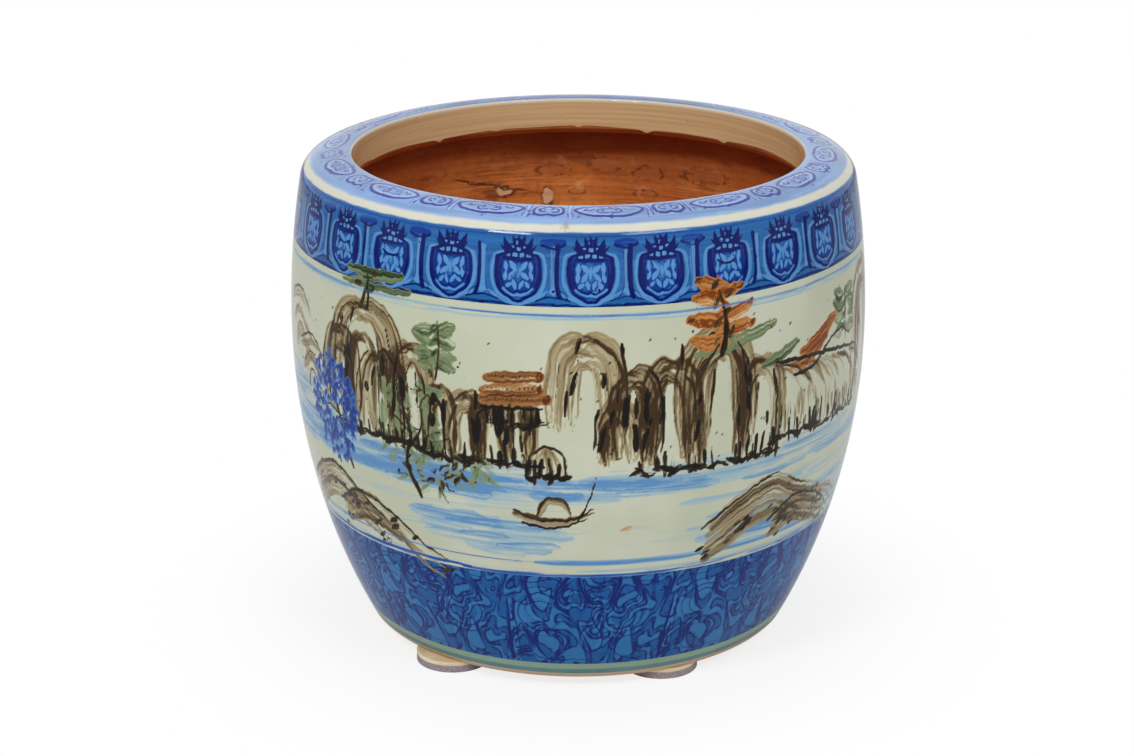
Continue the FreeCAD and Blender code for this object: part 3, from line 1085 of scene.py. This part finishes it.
# %% Lower band
contours(low_band, 0.62, 5, 0.85)
LOOSE_LINES = (([(-14, 30), (-22, 34), (-40, 31), (-52, 34)], 1.3),
               ([(12, 32), (30, 34.5), (44, 31), (56, 34)], 1.3),
               ([(-46, -20), (-38, -30), (-22, -33), (-6, -32), (10, -34)], 1.2),
               ([(20, -22), (32, -31), (46, -33), (56, -30)], 1.2))
for i in range(low_repeats):
    c = (4 + (i - low_repeats // 2) * low_pitch, 56.0)
    for _ in range(16):
        z, x, run = near(0, 34), near(0, low_pitch / 2), near(24, 14)
        lower(brush.choice(("shade", "light")), [(x - run, z), (x + run, z + near(0, 2))],
              near(3.5, 2), c, 0.26, dry=0.4)
    for _ in range(14):
        x, z = near(0, low_pitch / 2), near(0, 32)
        lower("shade", [(x, z), (x + near(0, 7), z + near(0, 7))], near(8, 3), c, 0.4)
    scroll(-33 + near(0, 3), 8, 21, 50, near(270, 20), c, 0.85)
    scroll(30 + near(0, 3), 4, 20, 130, near(270, 20), c, 0.9)
    cloud(-2, 22 + near(0, 3), 24, 13, c)
    gourd(6 + near(0, 3), -13, c)
    beaded_stem(-54.5, c)
    for path, width in LOOSE_LINES:
        lower("line", path, width, c, 0.8)
    for _ in range(9):
        x, z = near(0, low_pitch / 2), near(0, 30)
        lower("line", [(x, z), (x + near(0, 5), z + near(3, 3)), (x + near(0, 9), z + near(0, 5))],
              0.9, c, 0.75)
print("winding lines all round the lower band")

# %% Rim
rim_sheet = Sheet(-2, 36, BAND_PIXEL, BAND)
rim_repeats = 14
rim_pitch = 2 * rim_sheet.half / rim_repeats

# Each half panel's strokes: layer, path, width, the width's spread and load
SMALL_PANEL = (
    ("line", [(0, -5.5), (5, -6.8), (10.5, -4), (10.5, 3), (6, 6.6), (2.5, 4.4), (0, 6.2)], 2.3, 0.5, 1.0),
    ("line", [(2, 0), (4, 2.6), (7, 1.2), (6, -2.2), (3, -2.6)], 1.7, 0, 0.8),
    ("light", [(8, -3.5), (8.2, 2.5), (4.5, 4.6)], 1.2, 0, 0.6),
    ("line", [(14.2, -8.5), (13.6, 0), (14.4, 8)], 1.4, 0, 0.7),
    ("light", [(15.8, -8.5), (15.4, 0), (16, 8)], 1.2, 0, 0.6),
    ("line", [(17.6, -8.5), (17.0, 0), (17.8, 8)], 1.2, 0, 0.6))
LONG_PANEL = (
    ("line", [(0, -7.6), (12, -7.0), (22, -3.4), (25, 1.2), (20, 4.6), (10, 6.6), (0, 7.2)], 2.2, 0.4, 1.0),
    ("light", [(0, -5.6), (11, -5.0), (19.5, -2.2), (21.5, 0.8), (17, 3.2), (9, 4.6)], 1.3, 0, 0.6),
    ("line", [(1, -3), (6, -4), (9, -1), (6.5, 1.8), (3.5, 0.2), (5.5, -1.4)], 1.5, 0, 0.8),
    ("line", [(11, 2.6), (14, -0.4), (17.5, 0.6), (16, 2.8)], 1.6, 0, 0.75),
    ("shade", [(3, 1), (15, 1)], 5, 0, 0.35))


def on_rim(layer, path, width, c, flip=1, load=0.9, **options):
    draw(rim_sheet, layer, path, width, c, flip, load, 0.4, **options)


def panel(strokes, c):
    for flip in (-1, 1):
        for layer, path, width, spread, load in strokes:
            on_rim(layer, path, near(width, spread) if spread else width, c, flip, load)


for i in range(rim_repeats):
    c = (-22 + (i - rim_repeats // 2) * rim_pitch, 19.0)
    for _ in range(7):
        z, x, run = near(0, 13), near(0, rim_pitch / 2), near(18, 9)
        on_rim(brush.choice(("shade", "light")), [(x - run, z), (x + run, z)], near(2.4, 1.2), c,
               load=0.3, dry=0.4)
    panel(SMALL_PANEL, c)
    between = (c[0] + rim_pitch / 2, c[1])
    panel(LONG_PANEL, between)
    on_rim("line", [(-6, 4.4), (0, 2.6), (6, 4.4)], 1.6, between, load=0.75)
    for _ in range(22):
        x, z = near(rim_pitch / 4, rim_pitch / 2), near(0, 10)
        on_rim("line", [(x, z), (x + near(0, 4), z + near(0, 3))], near(1.8, 0.7), c,
               load=near(0.55, 0.3), shape=TAIL)
print("rim", rim_repeats, "pairs of panels")

# %% [markdown]
# ## Shader helpers
#
# A glaze recipe is arithmetic on positions, noises and densities. Wiring Math nodes by hand hides that
# arithmetic, so a small class wraps a socket and lets Python's signs add the nodes. Colours go through
# Mix nodes, and every other node comes from one method that is given its kind, settings and sockets.

# %% Value and Recipe
def paint(red, green, blue):
    """A colour as a picture shows it, from 0 to 255, turned into the light values that are mixed."""
    return tuple(c / 255 / 12.92 if c <= 10 else ((c / 255 + 0.055) / 1.055) ** 2.4
                 for c in (red, green, blue)) + (1.0,)


def sign(operation, swapped=False):
    """What one of Python's signs does between two values: it adds a Math node."""
    def apply(self, other):
        return self.maths(operation, *((other, self) if swapped else (self, other)))
    return apply


class Value:
    """A socket whose sums, products and powers add Math nodes."""

    def __init__(self, recipe, socket):
        self.recipe, self.socket = recipe, socket

    def maths(self, operation, *terms):
        return self.recipe.node("Math", {"operation": operation}, dict(enumerate(terms)))

    __add__ = __radd__ = sign("ADD")
    __mul__ = __rmul__ = sign("MULTIPLY")
    __sub__, __rsub__ = sign("SUBTRACT"), sign("SUBTRACT", True)
    __truediv__, __pow__ = sign("DIVIDE"), sign("POWER")


class Recipe:
    """The nodes of one material."""

    def __init__(self, name):
        self.material = bpy.data.materials.new(name)
        self.material.use_nodes = True
        self.tree = self.material.node_tree
        self.tree.nodes.clear()
        self.place = self.node("TexCoord", output="Object")
        split = self.node("SeparateXYZ", sockets={0: self.place})
        self.x, self.y, self.z = (Value(self, s) for s in split.socket.node.outputs)

    def node(self, kind, settings=None, sockets=None, output=0):
        """Adds any node. Its settings are set before its sockets get their values or links."""
        made = self.tree.nodes.new("ShaderNode" + kind)
        for name, value in (settings or {}).items():
            setattr(made, name, value)
        for name, value in (sockets or {}).items():
            if isinstance(value, Value):
                self.tree.links.new(value.socket, made.inputs[name])
            else:
                made.inputs[name].default_value = value
        return Value(self, made.outputs[output]) if len(made.outputs) else made

    def density(self, name):
        return self.node("Attribute", {"attribute_name": name}, output="Fac")

    def between(self, value, low, high, to_low=0.0, to_high=1.0):
        """A soft step from one value to another."""
        return self.node("MapRange", {"interpolation_type": "SMOOTHSTEP"},
                         {"Value": value, "From Min": low, "From Max": high,
                          "To Min": to_low, "To Max": to_high})

    def noise(self, size, detail=2.0, stretch=(1, 1, 1), shift=0.0, rough=0.5):
        """Noise with lumps of a size in millimetres, drawn out along each axis by its stretch."""
        spot = self.node("Mapping", sockets={0: self.place, "Location": (shift, shift, shift),
                                             "Scale": tuple(1 / MM / size / s for s in stretch)})
        return self.node("TexNoise", sockets={"Vector": spot, "Scale": 1.0,
                                              "Detail": detail, "Roughness": rough})

    def mix(self, factor, a, b, blend="MIX"):
        return self.node("Mix", {"data_type": "RGBA", "blend_type": blend},
                         {0: factor, 6: a, 7: b}, output=2)

    def edge(self, value, start, end, size, depth, detail=2.0, shift=0.0):
        """A soft edge between two places in millimetres, made uneven by noise of a size and a depth."""
        uneven = value + self.noise(size, detail, shift=shift) * (depth * MM)
        return self.between(uneven, start * MM, end * MM)

    def bump(self, height, depth):
        """A relief whose height runs from 0 to 1 over a depth in millimetres."""
        return self.node("Bump", sockets={"Height": height, "Distance": depth * MM})

    def finish(self, sockets):
        shader = self.node("BsdfPrincipled", sockets=sockets)
        self.node("OutputMaterial", sockets={"Surface": shader})
        return self.material


print("a mid celadon is", [round(c, 3) for c in paint(190, 193, 172)])

# %% [markdown]
# ## Painted glazes
#
# Each coat's vertices carry the densities of the pigments that the sheets hold at their place. A thin
# layer of pigment tints the glaze and a thick one hides it, so a pigment has two colours, and the
# density goes from clear through the first to the second. A fine noise on the density gives the
# grainy edge that dry colour leaves on raw glaze.

# %% Put the densities on a coat
def carry(piece, sheet, names, wander, up=None):
    """Writes layers of a sheet to a coat, as attributes. Up turns places into heights on the sheet."""
    x, y, z = places_of(piece).T / MM
    across = np.arctan2(x, -y) * SHEET_RADIUS
    height = z if up is None else up(np.hypot(x, y), z)
    for name in names:
        layer = piece.data.attributes.new(name, "FLOAT", "POINT")
        layer.data.foreach_set("value", sheet.at(name, across, height, wander).astype(np.float32))


PIGMENTS = {
    "water": ((160, 185, 192), (90, 140, 188)),
    "cobalt": ((66, 114, 182), (8, 46, 130)),
    "green": ((122, 138, 98), (30, 52, 26)),
    "olive": ((160, 144, 106), (60, 38, 14)),
    "rust": ((196, 130, 66), (122, 56, 10)),
    "roof": ((164, 112, 60), (84, 42, 12)),
    "ink": ((62, 48, 26), (10, 5, 1)),
}


def pigmented(recipe, ground, names, grain):
    """Lays pigments over a ground, each from clear to its thin and then to its thick colour."""
    colour = ground
    for name in names:
        thin, thick = PIGMENTS[name]
        density = recipe.density(name) * grain
        colour = recipe.mix(recipe.between(density, 0.04, 0.5), colour, paint(*thin))
        colour = recipe.mix(recipe.between(density, 0.36, 1.15), colour, paint(*thick))
    return colour


def glassy(recipe, colour, relief=0.05):
    """The clear shine of a fired glaze, with the faint waves that it sets in."""
    waves = recipe.noise(22, 1.0)
    return recipe.finish({"Base Color": colour, "Roughness": recipe.between(waves, 0.3, 0.7, 0.05, 0.10),
                          "IOR": 1.5, "Specular IOR Level": 0.17, "Normal": recipe.bump(waves, relief)})


# %% Glaze of the picture
def picture_material():
    recipe = Recipe("celadon_white_glaze")
    cloud = recipe.between(recipe.noise(60, 3.0), 0.35, 0.65)
    ground = recipe.mix(cloud, paint(190, 194, 170), paint(198, 201, 180))
    grain = recipe.noise(0.8, 2.0) * 0.7 + 0.65
    colour = pigmented(recipe, ground, ("water", "olive", "green", "rust", "roof", "ink", "cobalt"), grain)
    return glassy(recipe, colour)


celadon = picture_material()
for side in ("front", "right", "back", "left"):
    piece = coats["picture_glaze_" + side]
    carry(piece, picture, ("ink", "olive", "green", "rust", "roof"), 0.8)
    carry(piece, picture, ("water", "cobalt"), 0.0)
    piece.data.materials.append(celadon)


# %% Blue bands
OVER_HIGH_BAND, OVER_LOW_BAND = ("olive", "green", "rust", "roof", "ink"), ("olive", "ink")


def band_material(name, base, shade, light, line, extra=()):
    """A streaky base under the three layers of a band, and any pigments that run over from the scene."""
    recipe = Recipe(name)
    streaks_seen = recipe.between(recipe.noise(3.0, 3.0, (26, 26, 1)), 0.3, 0.7)
    colour = recipe.mix(streaks_seen, paint(*base), paint(*[c * 0.86 for c in base]))
    grain = recipe.noise(1.1, 2.0, shift=3.0) * 0.5 + 0.75
    for layer, wash, low, high in (("shade", shade, 0.05, 1.1), ("light", light, 0.1, 1.0),
                                   ("line", line, 0.12, 0.9)):
        colour = recipe.mix(recipe.between(recipe.density(layer) * grain, low, high), colour, paint(*wash))
    return recipe, pigmented(recipe, colour, extra, grain)


recipe, colour = band_material("upper_band_blue", (36, 102, 170), (2, 54, 140), (86, 142, 198), (0, 16, 92),
                               OVER_HIGH_BAND)
upper_blue = glassy(recipe, colour)
recipe, colour = band_material("lower_band_blue", (22, 98, 162), (12, 78, 150), (48, 118, 175), (0, 28, 106),
                               OVER_LOW_BAND)
lower_blue = glassy(recipe, colour)
for side in ("front", "back"):
    upper, lower_piece = coats["upper_band_glaze_" + side], coats["lower_band_glaze_" + side]
    carry(upper, high_band, BAND, 0.3)
    carry(upper, picture, OVER_HIGH_BAND, 0.8)
    upper.data.materials.append(upper_blue)
    carry(lower_piece, low_band, BAND, 0.5)
    carry(lower_piece, picture, OVER_LOW_BAND, 0.8)
    lower_piece.data.materials.append(lower_blue)

# %% Rim and foot
# The rim's sheet is counted inwards from this radius
RIM_START = 183.0
recipe, colour = band_material("rim_blue", (132, 166, 214), (96, 132, 198), (170, 196, 232), (54, 52, 144))
radius = (recipe.x * recipe.x + recipe.y * recipe.y) ** 0.5
edge = recipe.edge(radius, 178.5, 181.1, 14, 1.6)
mouth = recipe.edge(radius, 152.3, 151.6, 9, 0.8)
colour = recipe.mix(edge, colour, paint(208, 207, 192))
# Painted shade: the far half of the rim is multiplied to a deeper blue, as the far side looks darker from
# the front
back = recipe.between(recipe.y, 0.07, 0.17)
colour = recipe.mix(back, colour, recipe.mix(1.0, colour, paint(180, 202, 228), "MULTIPLY"))
under_edge = recipe.edge(recipe.z, 320.3, 319.1, 12, 1.4, shift=4.0)
colour = recipe.mix(under_edge, colour, paint(52, 104, 170))
colour = recipe.mix(mouth, colour, paint(196, 190, 176))
off_x, off_z = recipe.x + 8.4 * MM, recipe.z - 322.3 * MM
away = (off_x * off_x + off_z * off_z) ** 0.5 + recipe.noise(1.6, 4.0, shift=6.0) * (9 * MM)
stain = recipe.between(away, 0.0082, 0.0045) * recipe.between(recipe.y, -0.17, -0.175)
colour = recipe.mix(stain * 0.6, colour, paint(150, 120, 96))
rim = coats["rim_glaze"]
carry(rim, rim_sheet, BAND, 0.3, lambda r, z: RIM_START - r)
rim.data.materials.append(glassy(recipe, colour))

recipe = Recipe("foot_glaze_green")
line = recipe.edge(recipe.z, 14.6, 15.8, 12, 1.0)
low = recipe.mix(recipe.between(recipe.noise(30, 2.0), 0.3, 0.7), paint(84, 126, 130), paint(102, 140, 136))
coats["foot_glaze"].data.materials.append(glassy(recipe, recipe.mix(line, low, paint(140, 164, 142))))

# %% [markdown]
# ## Lip, clay and glides
#
# The cream glaze runs over the mouth and down the lip, and stops in a few slow drips. Inside, the clay
# is bare: orange-brown, ringed by the throwing, and painted darker near the top for the rim's shade. The
# glides keep their frame solids, because a pressed cap and a felt pad are as plain as that, and get a
# finish each.

# %% Lip glaze
lip_face = [(mouth_radius, z) for z in steps(rim_z - mouth_edge, lip_low_z + 2.6, 1.0)[1:]]
lip_glaze = add_coat("lip_glaze", mouth_line[mouth_join:] + lip_face, 720)
places = places_of(lip_glaze)
angle = np.arctan2(places[:, 0], -places[:, 1])
hang = 0.7 * np.sin(angle * 5 + 1) + 0.35 * np.sin(angle * 13 + 2)
drips = random.Random(8)
for _ in range(16):
    at, wide, long = drips.uniform(-math.pi, math.pi), drips.uniform(0.012, 0.035), drips.uniform(0.4, 1.8)
    gap = np.abs((angle - at + math.pi) % math.tau - math.pi)
    hang += long * np.exp(-(gap / wide) ** 2)

# The coat hangs from a line 10 mm under the crown, and stops just above the lip's lower edge
reach = np.clip((rim_z * MM - 0.010 - places[:, 2]) / 0.0125, 0, 1)
lowest = lip_low_z * MM + 0.0002
places[:, 2] = np.maximum(places[:, 2] - (hang - 2.2) * MM * reach ** 2, lowest)
lip_glaze.data.vertices.foreach_set("co", places.ravel())
lip_glaze.data.update()

recipe = Recipe("lip_cream")
bands = recipe.between(recipe.noise(2.2, 3.0, (60, 60, 1)), 0.35, 0.65)
colour = recipe.mix(bands, paint(216, 184, 140), paint(204, 168, 122))
low_edge = recipe.edge(recipe.z, 308.5, 304.5, 16, 4, 3.0)
colour = recipe.mix(low_edge, colour, paint(176, 136, 88))
# Painted highlight: the top of the lip, round the mouth's edge, is made paler where it catches the light
bright = recipe.between(recipe.z, 0.3238, 0.3262)
colour = recipe.mix(bright, colour, paint(214, 200, 176))
spots = recipe.between(recipe.noise(2.4, 2.0, shift=9.0), 0.74, 0.8)
colour = recipe.mix(spots, colour, paint(110, 80, 50))
lip_glaze.data.materials.append(glassy(recipe, colour, 0.12))

# %% Bare clay
recipe = Recipe("bare_clay")
rings = recipe.noise(1.4, 5.0, (30, 30, 1))
patches = recipe.noise(42, 4.0, (1.6, 1.6, 1), shift=2.0)
colour = recipe.mix(recipe.between(patches, 0.38, 0.62), paint(226, 142, 68), paint(204, 116, 46))
some = recipe.between(recipe.noise(30, 3.0, (1.4, 1.4, 1), shift=4.0), 0.42, 0.62)
colour = recipe.mix(recipe.between(rings, 0.44, 0.7) * some * 0.75, colour, paint(132, 66, 26))
mottle = recipe.between(recipe.noise(4.5, 5.0, (1.5, 1.5, 1), shift=8.0, rough=0.65), 0.45, 0.7)
colour = recipe.mix(mottle * 0.5, colour, paint(160, 84, 34))
stain = recipe.between(recipe.noise(16, 6.0, (2.4, 2.4, 1), shift=5.0, rough=0.6), 0.57, 0.66)
colour = recipe.mix(stain * 0.7, colour, paint(110, 58, 34))
pale = recipe.between(recipe.noise(13, 6.0, (1.3, 1.3, 1), shift=7.0, rough=0.62), 0.6, 0.72)
colour = recipe.mix(pale * 0.55, colour, paint(230, 176, 122))
# Painted shade: the inside wall is darkened towards its top, where the rim's flange shades it
painted_rim_shade = recipe.between(recipe.z + (patches - 0.5) * (20 * MM), 0.252, 0.292)
colour = recipe.mix(painted_rim_shade * 0.72, colour, paint(140, 58, 14))
far = recipe.between(recipe.y, 0.10, 0.13)


def oval(x, z, wide, tall):
    """Distance from an uneven oval on the far wall, where 1 is its edge. Sizes are in millimetres."""
    across, up = (recipe.x - x * MM) / (wide * MM), (recipe.z - z * MM) / (tall * MM)
    return (across * across + up * up) ** 0.5 + (mottle - 0.5) * 0.5


# Place, width and height of each mark on the far wall
SCARS = ((22, 271, 12, 5), (53, 266, 9, 5), (93, 268, 13, 5), (-18, 267, 10, 3.5), (51, 250, 7, 2.6),
         (0, 250, 5, 2))
CHIPS = ((-55, 252, 6, 3.5), (-22, 246, 4, 6))
raised = 0
stain_lumps = recipe.between(recipe.noise(5, 3.0, shift=11.0), 0.42, 0.62) * 0.8
for scar in SCARS:
    away = oval(*scar)
    colour = recipe.mix(recipe.between(away, 1.0, 0.7) * far * 0.35, colour, paint(176, 104, 64))
    ring = recipe.between(away, 0.7, 0.95) * recipe.between(away, 1.35, 1.0) * far
    colour = recipe.mix(ring * stain_lumps, colour, paint(96, 46, 22))
for chipped in CHIPS:
    away = oval(*chipped)
    colour = recipe.mix(recipe.between(away, 1.6, 1.1) * far * stain_lumps, colour, paint(88, 42, 20))
    chip = recipe.between(away, 1.05, 0.75) * far
    colour = recipe.mix(chip, colour, paint(232, 186, 140))
    raised = chip + raised
slant = recipe.z - recipe.x * -0.2 - (243.5 * MM) + (patches - 0.5) * (14 * MM) + (mottle - 0.5) * (3 * MM)
crack = (recipe.between(slant * slant, (1.3 * MM) ** 2, (0.3 * MM) ** 2)
         * recipe.between(recipe.x, -0.095, -0.085) * recipe.between(recipe.x, -0.03, -0.045) * far)
colour = recipe.mix(crack * 0.9, colour, paint(70, 32, 14))
foot = recipe.between(recipe.z, 0.0125, 0.0112)
colour = recipe.mix(foot, colour, recipe.mix(rings, paint(214, 184, 152), paint(176, 140, 106)))
grit = recipe.noise(0.9, 3.0)
ware_body.data.materials.append(recipe.finish({
    "Base Color": colour, "Roughness": recipe.between(patches, 0.3, 0.7, 0.55, 0.8),
    "Normal": recipe.bump(rings * 0.5 + grit * 0.3 + mottle * 0.4 + raised * 3, 0.4)}))

# %% Glide finishes
recipe = Recipe("cream_plastic")
clouds = recipe.between(recipe.noise(20, 3.0), 0.4, 0.6)
colour = recipe.mix(clouds, paint(240, 223, 188), paint(226, 204, 164))
rough = recipe.between(recipe.noise(3, 3.0), 0.3, 0.7, 0.28, 0.42)
cream = recipe.finish({"Base Color": colour, "Roughness": rough,
                       "Normal": recipe.bump(recipe.noise(2.0, 2.0), 0.03)})
recipe = Recipe("felt")
fibres = recipe.noise(0.55, 4.0, (1, 1, 1.6), rough=0.7)
colour = recipe.mix(recipe.between(fibres, 0.35, 0.65), paint(126, 112, 118), paint(186, 172, 176))
felt = recipe.finish({"Base Color": colour, "Roughness": 0.95, "Normal": recipe.bump(fibres, 0.5)})
for name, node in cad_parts.items():
    if name.startswith(("glide_cap", "felt_pad")):
        node.data.materials.clear()
        node.data.materials.append(cream if name.startswith("glide_cap") else felt)

# %% [markdown]
# ## Studio
#
# The pot stands on a white sheet that fades into the backdrop. A soft even light fills from all round,
# and two soft boxes in front, one to each side, set bright patches on the rim and the lip. Only the
# camera and mirror-like rays see the full white of the world, so a pale ground doesn't flood the ware.

# %% Floor
deselect_all()
bpy.ops.mesh.primitive_grid_add(x_subdivisions=24, y_subdivisions=24, size=14.0, location=(0, 0, 0))
floor = bpy.context.object
floor.name = "studio_floor"
recipe = Recipe("white_sheet")
distance = (recipe.x * recipe.x + recipe.y * recipe.y) ** 0.5
seen = recipe.node("LightPath", output="Is Camera Ray")
cloudy = recipe.between(recipe.noise(400, 2.0), 0.3, 0.7)
sheet_colour = recipe.mix(cloudy, paint(246, 246, 246), paint(250, 250, 250))
shader = recipe.node("BsdfDiffuse", sockets={"Color": sheet_colour})
glow = recipe.node("Emission", sockets={"Color": (1, 1, 1, 1), "Strength": 1.0})
fade = recipe.between(distance, 0.14, 0.32, 0.8, 1.0)
both = recipe.node("MixShader", sockets={0: fade * seen, 1: shader, 2: glow})
recipe.node("OutputMaterial", sockets={"Surface": both})
floor.data.materials.append(recipe.material)

# %% World and lamps
world = bpy.data.worlds.new("studio")
bpy.context.scene.world = world
world.use_nodes = True
tree = world.node_tree
sky = tree.nodes["Background"]
sky.inputs["Color"].default_value = (1, 1, 1, 1)
rays, first, second, level = (tree.nodes.new("ShaderNode" + kind)
                              for kind in ("LightPath", "Math", "Math", "MapRange"))
first.operation = second.operation = "MAXIMUM"
level.inputs["To Min"].default_value = 0.42
for start, end in ((rays.outputs["Is Camera Ray"], first.inputs[0]),
                   (rays.outputs["Is Glossy Ray"], first.inputs[1]),
                   (first.outputs[0], second.inputs[0]),
                   (rays.outputs["Is Transmission Ray"], second.inputs[1]),
                   (second.outputs[0], level.inputs["Value"]),
                   (level.outputs[0], sky.inputs["Strength"])):
    tree.links.new(start, end)


def soft_box(name, azimuth, elevation, distance, width, height, power):
    """A rectangular lamp that faces the pot. Azimuth runs from the front to the right, in degrees."""
    a, e = math.radians(azimuth), math.radians(elevation)
    lamp = bpy.data.lights.new(name, "AREA")
    lamp.shape, lamp.size, lamp.size_y, lamp.energy = "RECTANGLE", width, height, power
    holder = bpy.data.objects.new(name, lamp)
    away = Vector((math.sin(a) * math.cos(e), -math.cos(a) * math.cos(e), math.sin(e)))
    holder.location = Vector((0, 0, 0.25)) + away * distance
    holder.rotation_euler = away.to_track_quat("Z", "Y").to_euler()
    bpy.context.scene.collection.objects.link(holder)


soft_box("left_box", -31, 42, 1.8, 0.46, 0.16, 12)
soft_box("right_box", 34, 42, 1.8, 0.7, 0.2, 7.5)
soft_box("top_box", 180, 75, 2.0, 1.6, 1.2, 8.5)

# %% Camera
camera_data = bpy.data.cameras.new("photo_camera")
camera_data.sensor_width = 36.0
camera_data.lens = 78.81
camera = bpy.data.objects.new("photo_camera", camera_data)
camera.location = (-0.00754, -1.6217, 0.7171)
camera.rotation_euler = (math.radians(71.185), 0, 0)
bpy.context.scene.collection.objects.link(camera)
bpy.context.scene.camera = camera
bpy.context.scene.view_settings.view_transform = "Standard"
